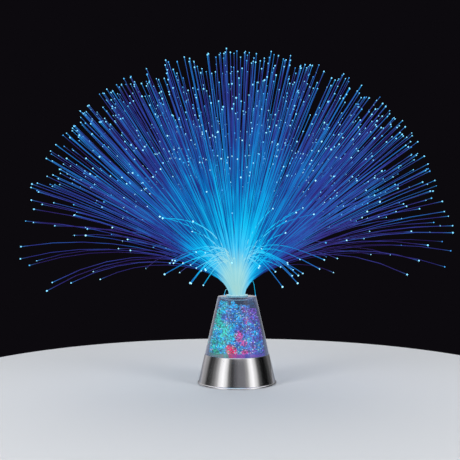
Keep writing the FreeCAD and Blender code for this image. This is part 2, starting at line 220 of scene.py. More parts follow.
camera = {"place": (-0.0077, -0.880, 0.1678), "lens": 62.6, "sensor": 36}


def setCamera():
    data = bpy.data.cameras.new("camera")
    data.lens = camera["lens"]
    data.sensor_width = camera["sensor"]
    eye = bpy.data.objects.new("camera", data)
    eye.location = camera["place"]
    eye.rotation_euler = (radians(90), 0, 0)
    scene.collection.objects.link(eye)
    scene.camera = eye


# the studio's sizes are in metres
studio = {
    "floorRadius": 0.36, "floorDepth": 0.02, "floorEdge": 0.004, "floorTint": "#cbccce",
    "backdropTint": "#0c0a0e", "roomTint": "#ccd0d4", "roomLevel": 0.8, "bandLevel": 1.12,
    "ceilingTint": "#f6f6f8", "ceilingFrom": (0.56, 0.7), "aimHeight": 0.12,
    # the room as the mirror band sees it: degrees round from the camera's side, and the grey there
    "roomRound": [
        (-180, "#c0c0bc"), (-143, "#c6c4c6"), (-120, "#8c8c8c"), (-104, "#2c2c2c"), (-90, "#3c3c3c"),
        (-77, "#686868"), (-66, "#a0a0a0"), (-55, "#ececec"), (-45, "#ffffff"), (-36, "#dcdcdc"),
        (-25, "#606060"), (-16, "#303032"), (-6, "#545458"), (6, "#6a6a6e"), (22, "#6e6e72"), (33, "#949494"),
        (43, "#ececec"), (51, "#ffffff"), (61, "#d0d0d0"), (74, "#4c4c4c"), (88, "#0e0e0e"), (102, "#040404"),
        (118, "#343434"), (140, "#767676"), (180, "#c0c0bc")],
    "boxes": [{"turn": -46, "height": 0.75, "away": 1.5, "size": (0.5, 1.1), "watts": 14},
              {"turn": 50, "height": 0.75, "away": 1.5, "size": (0.5, 1.1), "watts": 12},
              {"turn": 180, "height": 1.5, "away": 0.9, "size": (0.9, 0.6), "watts": 8}],
}


def buildFloor():
    deselectAll()
    deep = studio["floorDepth"]
    bpy.ops.mesh.primitive_cylinder_add(vertices=128, radius=studio["floorRadius"], depth=deep,
                                        location=(0, 0, -deep / 2))
    floor = bpy.context.object
    floor.name = "studioFloor"
    bpy.ops.object.transform_apply(location=True, rotation=True, scale=True)
    bevelEdges(floor, studio["floorEdge"], 3)
    smoothEdges(floor)
    coatPiece(floor, newFinish("matt board", {"Base Color": studio["floorTint"], "Roughness": 0.75})[0])


def buildRoom():
    room = bpy.data.worlds.new("studio room")
    scene.world = room
    room.use_nodes = True
    tree = room.node_tree
    add = partial(addNode, tree)
    soft = tree.nodes["Background"]
    feedNode(soft, {"Color": studio["roomTint"], "Strength": studio["roomLevel"]})
    axes = add("SeparateXYZ", [add("TexCoord").outputs["Generated"]]).outputs
    behind = add("Math", [axes["Y"], -1.0], operation="MULTIPLY")
    turn = add("Math", [axes["X"], behind], operation="ARCTAN2")
    share = add("MapRange", [turn, -pi, pi])
    stops = [((degrees + 180) / 360, tint) for degrees, tint in studio["roomRound"]]
    ring = fillRamp(add("ValToRGB", [share]), stops, "EASE")
    # the rolled lip looks up at a bright ceiling, which the band itself never sees
    above = add("MapRange", [axes["Z"], *studio["ceilingFrom"]])
    overhead = add("Mix", {0: above, 6: ring, 7: studio["ceilingTint"]}, data_type="RGBA")
    mirrored = add("Background", [overhead, studio["bandLevel"]])
    dark = add("Background", [studio["backdropTint"], 1.0])
    rays = add("LightPath").outputs
    seen = add("Math", [rays["Is Camera Ray"], rays["Is Transmission Ray"]], operation="MAXIMUM")
    gloss = add("MixShader", [rays["Is Glossy Ray"], soft, mirrored])
    view = add("MixShader", [seen, gloss, dark])
    feedNode(tree.nodes["World Output"], {"Surface": view})


def buildLights():
    for k, box in enumerate(studio["boxes"]):
        data = bpy.data.lights.new(f"softBox{k}", "AREA")
        data.shape = "RECTANGLE"
        data.size, data.size_y = box["size"]
        data.energy = box["watts"]
        lamp = bpy.data.objects.new(f"softBox{k}", data)
        turn = radians(box["turn"])
        lamp.location = (box["away"] * sin(turn), -box["away"] * cos(turn), box["height"])
        aim = Vector((0, 0, studio["aimHeight"])) - lamp.location
        lamp.rotation_euler = aim.to_track_quat("-Z", "Y").to_euler()
        lamp.visible_camera = False
        lamp.visible_glossy = False      # the mirror band and the stones see the room's own bands instead
        lamp.visible_transmission = False
        scene.collection.objects.link(lamp)


setCamera()
buildFloor()
buildRoom()
buildLights()
print("studio ready")


# finishes that several pieces share

def sparkAbs(name, tint, grain=0.35):
    # ABS from a spark-eroded mould: an even matt grain
    finish, add, shader = newFinish(name, {"Base Color": tint, "Roughness": 0.5, "IOR": 1.54})
    point = add("TexCoord").outputs["Object"]
    pits = add("TexNoise", {"Vector": point, "Scale": 1 / (grain * mm), "Detail": 2.0})
    relief = add("Bump", {"Height": pits, "Strength": 0.35, "Distance": 0.05 * mm})
    cloud = add("TexNoise", {"Vector": point, "Scale": 40.0, "Detail": 3.0})   # 25 mm clouds
    rough = add("MapRange", {"Value": cloud, "To Min": 0.42, "To Max": 0.62})
    feedNode(shader, {"Normal": relief, "Roughness": rough})
    return finish


def platedSteel(name, tint, rough):
    # nickel or zinc plated steel: bright metal with fine drawn lines
    finish, add, shader = newFinish(name, {"Base Color": tint, "Metallic": 1.0, "Roughness": rough})
    point = add("TexCoord").outputs["Object"]
    lines = add("Mapping", {"Vector": point, "Scale": (400.0, 4000.0, 4000.0)})   # lines 0.25 mm apart
    drawn = add("TexNoise", {"Vector": lines, "Scale": 1.0, "Detail": 2.0})
    shade = add("MapRange", {"Value": drawn, "To Min": rough * 0.7, "To Max": rough * 1.5})
    feedNode(shader, {"Roughness": shade})
    return finish


def plainPlastic(name, tint, rough, speck):
    # moulded plastic with a faint mottle in its colour and gloss
    finish, add, shader = newFinish(name, {"Base Color": tint, "Roughness": rough})
    point = add("TexCoord").outputs["Object"]
    mottle = add("TexNoise", {"Vector": point, "Scale": 600.0, "Detail": 2.0})   # specks of 1.7 mm
    shade = add("Mix", {0: mottle, 6: tint, 7: speck}, data_type="RGBA")
    gloss = add("MapRange", {"Value": mottle, "To Min": rough * 0.8, "To Max": rough * 1.25})
    feedNode(shader, {"Base Color": shade, "Roughness": gloss})
    return finish


# base: mirror band, screws and what closes the foot

cone = {
    "footRadius": 42.64, "capRadius": 21.0, "height": 95.0, "middle": 64.0,
    "bandTop": 32.0, "shellWall": 1.8, "ledge": 4.5, "clearWall": 2.2, "capThickness": 2.5,
    "floorTop": 36.0, "tubeRadius": 11.6, "tubeWall": 2.0,
    # the rolled lip round the foot: how far it stands out of the cone, and at what height
    "lip": [(0.4, 0.0), (0.66, 0.1), (0.78, 0.35), (0.78, 0.7), (0.66, 1.15), (0.42, 1.6), (0.1, 1.98)],
}


def coneRadius(z):
    return cone["footRadius"] + (cone["capRadius"] - cone["footRadius"]) * z / cone["height"]


def mirrorAbs():
    # vacuum-metallised ABS: a thin aluminium film under clear lacquer, so a bright soft mirror
    finish, add, shader = newFinish("vacuum metallised abs", {
        "Base Color": "#f2f1f3", "Metallic": 1.0, "Roughness": 0.12, "Specular Tint": "#a4a4a8"})
    point = add("TexCoord").outputs["Object"]
    haze = add("TexNoise", {"Vector": point, "Scale": 90.0, "Detail": 3.0})   # 11 mm clouds
    rough = add("MapRange", [haze, 0.3, 0.7, 0.10, 0.16])
    wave = add("TexNoise", {"Vector": point, "Scale": 35.0, "Detail": 1.0})   # 29 mm waves
    relief = add("Bump", {"Height": wave, "Strength": 0.05, "Distance": 0.2 * mm})
    feedNode(shader, {"Roughness": rough, "Normal": relief})
    return finish


def buildBand():
    wall, ledge, top = cone["shellWall"], cone["ledge"], cone["bandTop"]
    foot, rim, half = coneRadius(0), coneRadius(top), top * 0.5
    profile = [(foot - wall, 0.0)] + [(foot + out, z) for out, z in cone["lip"]] + [
        (coneRadius(2.25) + 0.02, 2.25), (coneRadius(2.7), 2.7), (coneRadius(half), half),
        (coneRadius(top - 0.5), top - 0.5), (rim - 0.12, top - 0.12), (rim - 0.5, top),
        (rim - ledge, top), (rim - ledge, top - wall), (rim - wall, top - wall),
        (coneRadius(half) - wall, half), (foot - wall, 0.0)]
    band = turnProfile("mirrorBand", profile, 128)
    dressPiece(band, mirrorAbs(), "housing", "mirror_band", "base_shell")


screw = {
    "azimuths": (69, 249), "circle": 36.08, "turned": 0.4, "headTop": 1.62, "headHeight": 1.2,
    "headRadius": 2.75, "radius": 1.05, "length": 11.0, "slot": (3.3, 0.38, 1.0), "slotTop": 0.2,
    # the domed face of the head, which looks down: radius, and height above headTop
    "dome": [(0, 0.05), (1.2, 0.05), (2.1, 0.12), (2.55, 0.35), (2.75, 0.7)],
}


def buildScrews():
    face, wide, slim = screw["headTop"], screw["headRadius"], screw["radius"]
    neck, end = face + screw["headHeight"], face + screw["length"]
    shank = [(wide, neck), (slim, neck), (slim, end - 1), (0, end + 0.5)]
    made = turnProfile("screwModel", [(r, face + z) for r, z in screw["dome"]] + shank, 32)
    for turn in (0, 90):
        deselectAll()
        bpy.ops.mesh.primitive_cube_add(size=1)
        blade = bpy.context.object
        blade.scale = [c * mm for c in screw["slot"]]
        blade.rotation_euler = (0, 0, radians(turn))
        blade.location = (0, 0, (face + screw["slotTop"]) * mm)
        bpy.ops.object.transform_apply(location=True, rotation=True, scale=True)
        pickOnly(made)
        cut = made.modifiers.new("cross", "BOOLEAN")
        cut.operation = "DIFFERENCE"
        cut.object = blade
        cut.solver = "EXACT"
        bpy.ops.object.modifier_apply(modifier=cut.name)
        bpy.data.objects.remove(blade)
    screws = []
    radius = screw["circle"] * mm
    for azimuth in screw["azimuths"]:
        turn = radians(azimuth)
        place = Matrix.Translation((radius * cos(turn), radius * sin(turn), 0))
        screws.append(copyPiece(made, place @ Matrix.Rotation(turn + screw["turned"], 4, "Z")))
    bpy.data.objects.remove(made)
    piece = joinPieces(screws, "footScrews")
    smoothEdges(piece)
    zinc = platedSteel("zinc plated steel", "#c9ccd0", 0.28)
    dressPiece(piece, zinc, "housing", "screw_steel", "base_screws")


buildBand()
buildScrews()
blackAbs = sparkAbs("spark textured abs", "#17181a")
dressNode("bottom_tray", blackAbs)
dressNode("battery_door", blackAbs)
dressNode("switch_knob", sparkAbs("fine textured abs", "#26272a", 0.2))
dressNode("switch_body", sparkAbs("glass filled nylon", "#101113"))
print("mirror band and foot done")


# power: cells, springs, plates, leads

cell = {
    "radius": 7.2, "length": 50.5, "nubHeight": 1.0, "nubRadius": 2.7, "bareRadius": 5.0,
    "rows": (-15.0, 0.0, 15.0), "axisHeight": 10.75, "tipReach": 27.15, "turned": 0.7,
}


def cellJacket():
    # printed shrink sleeve over a steel can: dark body, copper-coloured shoulder and bare steel ends
    finish, add, shader = newFinish("printed shrink sleeve", {"Roughness": 0.28, "Coat Weight": 0.3})
    along = add("Attribute", attribute_name="along").outputs["Fac"]
    band = fillRamp(add("ValToRGB", [along]), [
        (0.0, "#1d1f24"), (0.7, "#1d1f24"), (0.705, "#b3703c"), (0.96, "#b3703c"), (0.965, "#c9ccce")])
    point = add("TexCoord").outputs["Object"]
    fleck = add("TexNoise", {"Vector": point, "Scale": 500.0, "Detail": 2.0})   # 2 mm flecks
    faint = add("MapRange", {"Value": fleck, "To Max": 0.15})
    worn = add("Mix", {0: faint, 6: band, 7: "#6a6460"}, data_type="RGBA")
    metal = fillRamp(add("ValToRGB", [along]), [
        (0.0, "#000000"), (0.7, "#000000"), (0.705, "#c0c0c0"), (1.0, "#ffffff")])
    feedNode(shader, {"Base Color": worn, "Metallic": metal})
    return finish


def buildCells():
    reach, long, nub = cell["radius"], cell["length"], cell["nubRadius"]
    top = long - cell["nubHeight"]
    profile = [(0, 0.25), (4.2, 0.25), (4.6, 0), (6.3, 0), (reach - 0.15, 0.25), (reach, 0.7),
               (reach, top - 0.9), (reach - 0.15, top - 0.35), (reach - 0.7, top - 0.2), (4.6, top - 0.2),
               (4.2, top - 0.35), (nub + 0.5, top - 0.35), (nub, top), (nub, long - 0.3), (nub - 0.4, long),
               (0, long)]
    model = turnProfile("cellModel", profile, 64, 30)
    bare = cell["bareRadius"] * mm
    setValues(model, "along", "POINT", [
        v.co.z / (long * mm) if hypot(v.co.x, v.co.y) > bare else 1.0 for v in model.data.vertices])
    cells = []
    for k, row in enumerate(cell["rows"]):
        forward = 1 if k % 2 == 0 else -1
        tail = forward * (cell["tipReach"] - long) * mm
        place = Matrix.Translation((tail, row * mm, cell["axisHeight"] * mm))
        laid = Matrix.Rotation(forward * pi / 2, 4, "Y") @ Matrix.Rotation(cell["turned"] * k, 4, "Z")
        cells.append(copyPiece(model, place @ laid))
    bpy.data.objects.remove(model)
    dressPiece(joinPieces(cells, "penCells"), cellJacket(), "housing", "cell_jacket", "batteries")


spring = {"wire": 0.7, "plateRadius": 4.1, "cellRadius": 2.6, "turns": 3.0, "points": 12,
          "from": 26.75, "to": 23.75}


def buildSprings():
    springs = []
    for k, row in enumerate(cell["rows"]):
        side = -1 if k % 2 == 0 else 1
        coil, curve = curvePiece(f"spring{k}", spring["wire"] / 2 * mm, 2)
        curve.use_fill_caps = True
        line = curve.splines.new("POLY")
        count = int(spring["turns"] * spring["points"])
        line.points.add(count)
        for n in range(count + 1):
            share = n / count
            reach = spring["plateRadius"] + (spring["cellRadius"] - spring["plateRadius"]) * share
            turn = 2 * pi * n / spring["points"]
            out = side * (spring["from"] + (spring["to"] - spring["from"]) * share)
            line.points[n].co = (out * mm, (row + reach * cos(turn)) * mm,
                                 (cell["axisHeight"] + reach * sin(turn)) * mm, 1)
        springs.append(meshOfCurve(coil))
    piece = joinPieces(springs, "contactCoils")
    smoothEdges(piece, 60)
    wire = platedSteel("nickel plated spring wire", "#cfcbc2", 0.22)
    dressPiece(piece, wire, "housing", "contact_steel", "contact_springs")


def boardMask():
    # green solder mask over copper tracks: the tracks show as a slightly lighter grid
    finish, add, shader = newFinish("solder mask", {"Roughness": 0.3, "Coat Weight": 0.4})
    tracks = add("TexBrick", {
        "Vector": add("TexCoord").outputs["Object"], "Color1": "#0f4a2a", "Color2": "#12512f",
        "Mortar": "#2c8a52", "Scale": 180.0, "Mortar Size": 0.06})   # tracks 1.4 mm apart
    feedNode(shader, {"Base Color": tracks})
    return finish


def litLens(name, tint, body, level):
    # epoxy LED window, its light paled towards white in noise patches about 3 mm across
    finish, add, shader = newFinish(name, {
        "Base Color": body, "Roughness": 0.25, "Emission Strength": level})
    die = add("TexNoise", {"Vector": add("TexCoord").outputs["Object"], "Scale": 300.0})
    warm = add("Mix", {0: die, 6: tint, 7: "#ffffff"}, data_type="RGBA")
    feedNode(shader, {"Emission Color": warm})
    return finish


buildCells()
buildSprings()
dressNode("contact_plates", platedSteel("nickel plated strip", "#cfcbc2", 0.3))
dressNode("circuit_board", boardMask())
dressNode("controller_chip", plainPlastic("moulded epoxy", "#141517", 0.5, "#1e2022"))
dressNode("resistors", plainPlastic("glazed ceramic", "#1b1b1d", 0.35, "#d8d4cc"))
dressNode("positive_lead", plainPlastic("red pvc", "#a3201c", 0.4, "#8c1a18"))
blackPvc = plainPlastic("black pvc", "#161617", 0.4, "#202022")
dressNode("negative_lead", blackPvc)
dressNode("switch_leads", blackPvc)
dressNode("fiber_led", litLens("lit white lens", "#d8f4ff", "#e8f0f0", 4.0))
dressNode("green_leds", litLens("lit green lens", "#20ff60", "#d8f0dc", 2.0))
dressNode("red_leds", litLens("lit red lens", "#ff2040", "#f0d8d8", 2.0))
dressNode("blue_leds", litLens("lit blue lens", "#2040ff", "#d8dcf0", 2.0))
print("power and board done")


# clear cone, light well and the stones that fill them

def clearAcrylic():
    # injection-moulded acrylic: clear as glass, with a painted glow: a faint cool emission over the whole
    # shell stands in for the light from inside
    finish, add, shader = newFinish("moulded clear acrylic", {
        "Base Color": "#c2ccd6", "Roughness": 0.03, "IOR": 1.49, "Transmission Weight": 1.0,
        "Emission Color": "#8490b4", "Emission Strength": 0.09})
    point = add("TexCoord").outputs["Object"]
    flow = add("TexNoise", {"Vector": point, "Scale": 60.0, "Detail": 2.0})   # 17 mm flow marks
    relief = add("Bump", {"Height": flow, "Strength": 0.04, "Distance": 0.1 * mm})
    feedNode(shader, {"Normal": relief})
    return finish


# light in the thick floor: its reach to each side, how it frays, and the heights between which it fades
flood = {"reach": 34.0, "fray": 5.0, "fade": (36.5, 38.0)}


def floodedAcrylic():
    # the thick floor over the LEDs: clear acrylic flooded with their green, red and blue from side to side
    finish, add, shader = newFinish("thick clear acrylic", {
        "Base Color": "#5c8494", "Roughness": 0.06, "IOR": 1.49, "Transmission Weight": 0.85})
    point = add("TexCoord").outputs["Object"]
    axes = add("SeparateXYZ", [point]).outputs
    cloud = add("TexNoise", {"Vector": point, "Scale": 160.0, "Detail": 2.0})   # 6 mm clouds
    spill = add("MapRange", [cloud, 0.3, 0.7, -flood["fray"] * mm, flood["fray"] * mm])
    across = add("Math", [axes["X"], spill], operation="ADD")
    share = add("MapRange", [across, -flood["reach"] * mm, flood["reach"] * mm])
    glow = fillRamp(add("ValToRGB", [share]), [
        (0.0, "#0c4c50"), (0.2, "#0c9468"), (0.33, "#0a8c74"), (0.38, "#b01c54"), (0.44, "#e01c58"),
        (0.52, "#8c2c94"), (0.6, "#b82c94"), (0.66, "#4c2c90"), (0.8, "#1c3494"), (1.0, "#123058")])
    depth = add("MapRange", [axes["Z"], *[z * mm for z in flood["fade"]], 0.8, 0.0])   # the tube stays clear
    feedNode(shader, {"Emission Color": glow, "Emission Strength": depth})
    return finish


def buildClearCone():
    wall, bottom, top, half = cone["clearWall"], cone["bandTop"], cone["height"], cone["middle"]
    inTop = top - cone["capThickness"]
    foot, rim, inside = coneRadius(bottom), coneRadius(top - 0.5), coneRadius(inTop) - wall
    hole = cone["tubeRadius"] + 0.1
    lean = (cone["footRadius"] - cone["capRadius"]) / cone["height"]
    profile = [
        (foot - wall, bottom + 0.25), (foot - wall + 0.25, bottom), (foot - 0.45, bottom),
        (foot - 0.12, bottom + 0.12), (coneRadius(bottom + 0.5), bottom + 0.5), (coneRadius(half), half),
        (rim, top - 0.5), (rim - 0.05, top - 0.25), (rim - 0.22, top - 0.06), (rim - 0.5, top),
        (hole + 0.3, top), (hole, top - 0.3), (hole, inTop), (inside - 1.0, inTop),
        (inside - 0.25, inTop - 0.3), (inside + 0.9 * lean, inTop - 0.9), (coneRadius(half) - wall, half),
        (foot - wall, bottom + 0.25)]
    shell = turnProfile("clearCone", profile, 128)
    dressPiece(shell, clearAcrylic(), "housing", "clear_acrylic", "container_shell")


def buildLightWell():
    bottom, base, top = cone["bandTop"], cone["floorTop"], cone["height"]
    out, bore = cone["tubeRadius"], cone["tubeRadius"] - cone["tubeWall"]
    rim = coneRadius(base) - cone["clearWall"] - 0.1
    profile = [(bore, bottom), (rim - 0.4, bottom), (rim, bottom + 0.4), (rim, base - 0.3), (rim - 0.3, base),
               (out + 1.0, base), (out + 0.3, base + 0.3), (out, base + 1.0), (out, top - 0.3),
               (out - 0.3, top), (bore, top), (bore, bottom)]
    well = turnProfile("lightWell", profile, 96)
    dressPiece(well, floodedAcrylic(), "housing", "clear_acrylic", "light_well")


stones = {
    "seed": 8, "variants": 8, "size": 4.7, "swell": 0.6, "edge": 0.04, "wallGap": 0.1,
    "cuts": 13, "cutDepth": (0.6, 0.8), "cutTurn": 0.4, "cutLean": 0.2,
    "growth": (0.86, 1.12), "width": (0.85, 1.15), "depth": (0.85, 1.1),
    # how they lie, and the slope of the heap's top
    "layer": 0.9, "jitter": 0.7, "offWall": 0.35, "offTurn": 0.05,
    "fillTop": 89.4, "fillSlope": -0.19, "fillRough": (-1.5, 1.0), "shownDepth": 6.0,
    # their light: its reach to each side, and the bright specks in them
    "glowReach": 24.0, "speckSize": 2.1, "speckShare": 0.36, "speckLight": 1.35,
}


def stoneModel(dice, number):
    # a round blank with flats sawn off it
    deselectAll()
    bpy.ops.mesh.primitive_ico_sphere_add(subdivisions=1, radius=1.0)
    stone = bpy.context.object
    stone.name = f"stoneModel{number}"
    bpy.ops.object.mode_set(mode="EDIT")
    for k in range(stones["cuts"]):
        height = 1 - 2 * (k + 0.5) / stones["cuts"]
        turn = k * goldenAngle + dice.uniform(-stones["cutTurn"], stones["cutTurn"])
        ring = sqrt(1 - height * height)
        lean = dice.uniform(-stones["cutLean"], stones["cutLean"])
        normal = Vector((ring * cos(turn), ring * sin(turn), height + lean)).normalized()
        bpy.ops.mesh.select_all(action="SELECT")
        bpy.ops.mesh.bisect(plane_co=normal * dice.uniform(*stones["cutDepth"]), plane_no=normal,
                            use_fill=True, clear_outer=True)
    bpy.ops.mesh.select_all(action="SELECT")
    bpy.ops.mesh.dissolve_limited(angle_limit=radians(3))
    bpy.ops.object.mode_set(mode="OBJECT")
    return stone


def stonePlaces(dice):
    places = []
    size, gap = stones["size"], stones["wallGap"]
    inner = cone["tubeRadius"] + gap
    for layer in range(round((stones["fillTop"] + 5 - cone["floorTop"]) / (size * stones["layer"]))):
        z = cone["floorTop"] + size * (0.5 + stones["layer"] * layer)
        outer = coneRadius(z) - cone["clearWall"] - gap
        rings = max(1, round((outer - inner) / size))
        for ring in range(rings):
            reach = outer - size * 0.5 - (outer - inner - size) * ring / max(1, rings - 1)
            count = round(2 * pi * reach / size)
            for k in range(count):
                turn = 2 * pi * (k + 0.5 * (ring + layer)) / count
                turn += dice.uniform(-stones["offTurn"], stones["offTurn"])
                far = reach - abs(dice.gauss(0, stones["offWall"])) * stones["jitter"]
                height = z + dice.uniform(-1, 1) * stones["jitter"]
                x, y = far * cos(turn), far * sin(turn)
                limit = stones["fillTop"] + stones["fillSlope"] * x + dice.uniform(*stones["fillRough"])
                if height + 0.4 * size < limit:
                    shown = ring == 0 or height > limit - stones["shownDepth"]
                    places.append((x, y, max(height, cone["floorTop"] + 0.45 * size), shown))
    return places


def buildStones():
    dice = random.Random(stones["seed"])
    models = [stoneModel(dice, k) for k in range(stones["variants"])]
    polished = [copyPiece(model) for model in models]
    for model in polished:
        bevelEdges(model, stones["edge"], 1, 20)
    copies = []
    for x, y, z, shown in stonePlaces(dice):
        model = (polished if shown else models)[dice.randrange(len(models))]
        size = stones["size"] * stones["swell"] * dice.uniform(*stones["growth"]) * mm
        lean = Matrix.Rotation(dice.uniform(0, 6.28), 4, "X") @ Matrix.Rotation(dice.uniform(0, 6.28), 4, "Z")
        width, depth = dice.uniform(*stones["width"]), dice.uniform(*stones["depth"])
        spread = Matrix.Diagonal((size * width, size * depth, size, 1))
        copy = copyPiece(model, Matrix.Translation((x * mm, y * mm, z * mm)) @ lean @ spread)
        setValues(copy, "tone", "POINT", [dice.random()] * len(copy.data.vertices))
        setValues(copy, "glint", "FACE", [dice.random() for face in copy.data.polygons])
        copies.append(copy)
    for model in models + polished:
        bpy.data.objects.remove(model)
    fill = joinPieces(copies, "crystalFill")
    print("stones", len(copies), "faces", len(fill.data.polygons))
    dressPiece(fill, litStones(), "housing", "crystal_acrylic", "crystals")


# where a coloured LED shows through the stones: place, reach, tint and strength
stoneLights = [
    ((-6.5, -28, 39.5), (6, 12, 6.6), "#ff1c64", 1.0),
    ((6.5, 28, 39.5), (6, 12, 6.6), "#ff1c64", 1.0),
    ((2, -26, 54), (4, 9, 7), "#e03c98", 0.85),
    ((6.5, -25, 47), (3.4, 9, 4), "#e4348c", 0.8),
    ((10, -23, 72), (2.6, 8, 6.5), "#d83c94", 0.9),
    ((5.5, -21, 82), (2.4, 8, 4.5), "#a83ca8", 0.8),
    ((8, -28, 37.5), (4, 10, 3.4), "#e42c8c", 0.9),
    ((-21, -18, 38), (12, 14, 4), "#0c9c6c", 0.9),
    ((21, 18, 38), (12, 14, 4), "#0c9c6c", 0.9),
    ((-20, -12, 83), (4, 10, 7), "#10a894", 0.6),
    ((-10, -20, 74), (9, 12, 6), "#3c44b0", 0.75),
    ((2, -20, 74), (5, 10, 10), "#109ad8", 0.8),
    ((10, -20, 76), (4, 10, 5), "#1880c8", 0.7),
    ((18.5, -20, 57), (3.2, 8, 3.2), "#18b0ec", 1.0),
    ((12.5, -22, 67), (2.6, 8, 2.2), "#1cbcf0", 0.95),
    ((24, -18, 43), (6, 10, 6), "#1890d0", 0.75),
]


def litStones():
    # tumbled acrylic stones lit from below: cyan on one side, violet on the other, red over the red LEDs.
    # Each stone gathers the light of its neighbours, so its colour changes every two millimetres or so
    finish, add, shader = newFinish("tumbled clear acrylic", {
        "Base Color": "#0c1c3c", "Roughness": 0.12, "IOR": 1.49, "Specular IOR Level": 0.25,
        "Emission Strength": 1.0})
    point = add("TexCoord").outputs["Object"]
    axes = add("SeparateXYZ", [point]).outputs
    tone = add("Attribute", attribute_name="tone").outputs["Fac"]
    glint = add("Attribute", attribute_name="glint").outputs["Fac"]
    patch = add("TexNoise", {"Vector": point, "Scale": 70.0, "Detail": 1.0})   # 14 mm patches
    fine = add("TexNoise", {"Vector": point, "Scale": 420.0, "Detail": 2.0, "Roughness": 0.6})   # 2.4 mm
    # across: 0 on the cyan side, 1 on the violet side, broken up by patches, by stones and inside each one
    side = add("MapRange", [axes["X"], -stones["glowReach"] * mm, stones["glowReach"] * mm, 0.0, 0.9])
    broken = add("MapRange", [patch, 0.3, 0.7, -0.32, 0.32])
    inside = add("MapRange", [fine, 0.3, 0.7, -0.22, 0.22])
    own = add("MapRange", [tone, 0.0, 1.0, -0.15, 0.15])
    mixed = add("Math", [side, broken], operation="ADD")
    loose = add("Math", [inside, own], operation="ADD")
    across = add("Math", [mixed, loose], operation="ADD", use_clamp=True)
    colour = fillRamp(add("ValToRGB", [across]), [
        (0.0, "#24ccb4"), (0.1, "#18c0d8"), (0.34, "#10a6e0"), (0.52, "#1c84d4"), (0.68, "#425ec0"),
        (0.84, "#5c4cb4"), (1.0, "#7c46b0")])
    frayed = add("Math", [inside, 1.6, broken], operation="MULTIPLY_ADD")
    for place, reach, tint, strength in stoneLights:
        gap = add("VectorMath", [point, [c * mm for c in place]], operation="SUBTRACT")
        squat = add("VectorMath", [gap, [1 / (c * mm) for c in reach]], operation="MULTIPLY")
        far = add("VectorMath", [squat], operation="LENGTH")
        rough = add("Math", [far, frayed], operation="ADD")
        share = add("MapRange", [rough, 0.75, 1.05, strength, 0.0])
        colour = add("Mix", {0: share, 6: colour, 7: tint}, data_type="RGBA")
    # each facet and each spot inside a stone catches the light differently, a few of them near white or pink
    facet = add("MapRange", [glint, 0.0, 1.0, 0.5, 1.65])
    depth = add("TexNoise", {"Vector": point, "Scale": 560.0, "Detail": 1.0})   # 1.8 mm
    shade = add("MapRange", [depth, 0.38, 0.6, 0.35, 1.6])
    level = add("Math", [facet, shade], operation="MULTIPLY")
    toned = add("VectorMath", {0: colour, "Scale": level}, operation="SCALE")
    specks = add("TexVoronoi", {"Vector": point, "Scale": 1 / (stones["speckSize"] * mm)})
    near = add("MapRange", [specks, 0.24, 0.36, 1.0, 0.0])
    kinds = add("SeparateXYZ", [specks.outputs["Color"]]).outputs
    rare = add("Math", [kinds["X"], 1 - stones["speckShare"]], operation="GREATER_THAN")
    lit = add("Math", [near, rare], operation="MULTIPLY")
    sparkle = fillRamp(add("ValToRGB", [kinds["Y"]]), [
        (0.0, "#d8f8ff"), (0.45, "#9ceef8"), (0.46, "#f8a8dc"), (0.7, "#f06cb0"), (0.71, "#a8f4c8"),
        (1.0, "#e8fff0")], "CONSTANT")
    glare = add("VectorMath", {0: sparkle, "Scale": stones["speckLight"]}, operation="SCALE")
    bright = add("Mix", {0: lit, 6: toned, 7: glare}, data_type="RGBA")
    feedNode(shader, {"Emission Color": bright})
    return finish


buildClearCone()
buildLightWell()
buildStones()
print("clear cone and stones done")


# fountain: its strands and their beaded tips

fountain = {
    "leaders": 144, "lengthSeed": 11, "followSeed": 21, "launchRadius": 8.745, "rise": 96.8, "top": 357.6,
    "length": 266.5, "crop": 0.08, "spread": 0.04, "steps": 120, "spans": 6, "spanAngle": 22, "bias": 1.5,
    # a strand's angle from upright grows with its share of the plug, 0 in the middle, and the outer ones sag
    "flareAngle": 64.0, "flareReach": 15.0, "flarePower": 0.48,
    "sagAngle": 50.0, "sagPower": 5.0, "sagOnset": 1.1,
    # how many strands follow each leader, by quarters of that share, with none at the front past thinFrom
    "following": (9, 11, 10, 6), "thinSide": 0.66, "thinFrom": 0.5, "thinShare": 0.86, "thinCount": 2,
    "clumpSpread": 6.4, "bendSpread": 3.0, "driftSpread": 4.0, "shareSpread": 0.05, "leastShare": 0.001,
    "leastWide": 0.2,
    "fullShare": 0.44, "fullCrop": 0.045, "cutTo": (0.57, 0.97), "edgeRoom": 0.6, "fitted": 0.995,
    "strandRadius": 0.28, "swell": (0.9, 1.15), "clumpTone": 0.68, "ownTone": 0.32,
    "lowDim": 0.5, "lowFrom": 0.68,
    "accents": 0.07, "accentTone": 1.0, "accentSwell": 1.4, "tipGlow": 11.0, "tipShare": 0.6,
    "shortTone": (1.3, 2.0), "shortSwell": 1.3, "shortSteps": 12, "shortLaunch": (0.5, 1.0),
    "tiers": (("crown", 0, 28), ("middle", 28, 52), ("side", 52, 76), ("low", 76, 400)),
}

# strands cut short, which curl over early under the long ones, and a few that arch up and level out
shortStrands = [
    {"count": 32, "turn": 60, "turnSpread": 10, "bend": (106, 122), "reach": (46, 64), "power": 1.7,
     "length": (1.8, 2.8), "front": 0.8},
    {"count": 10, "turn": 52, "turnSpread": 14, "bend": (84, 104), "reach": (64, 92), "power": 1.2,
     "length": (1.4, 2.0), "front": 0.6},
]

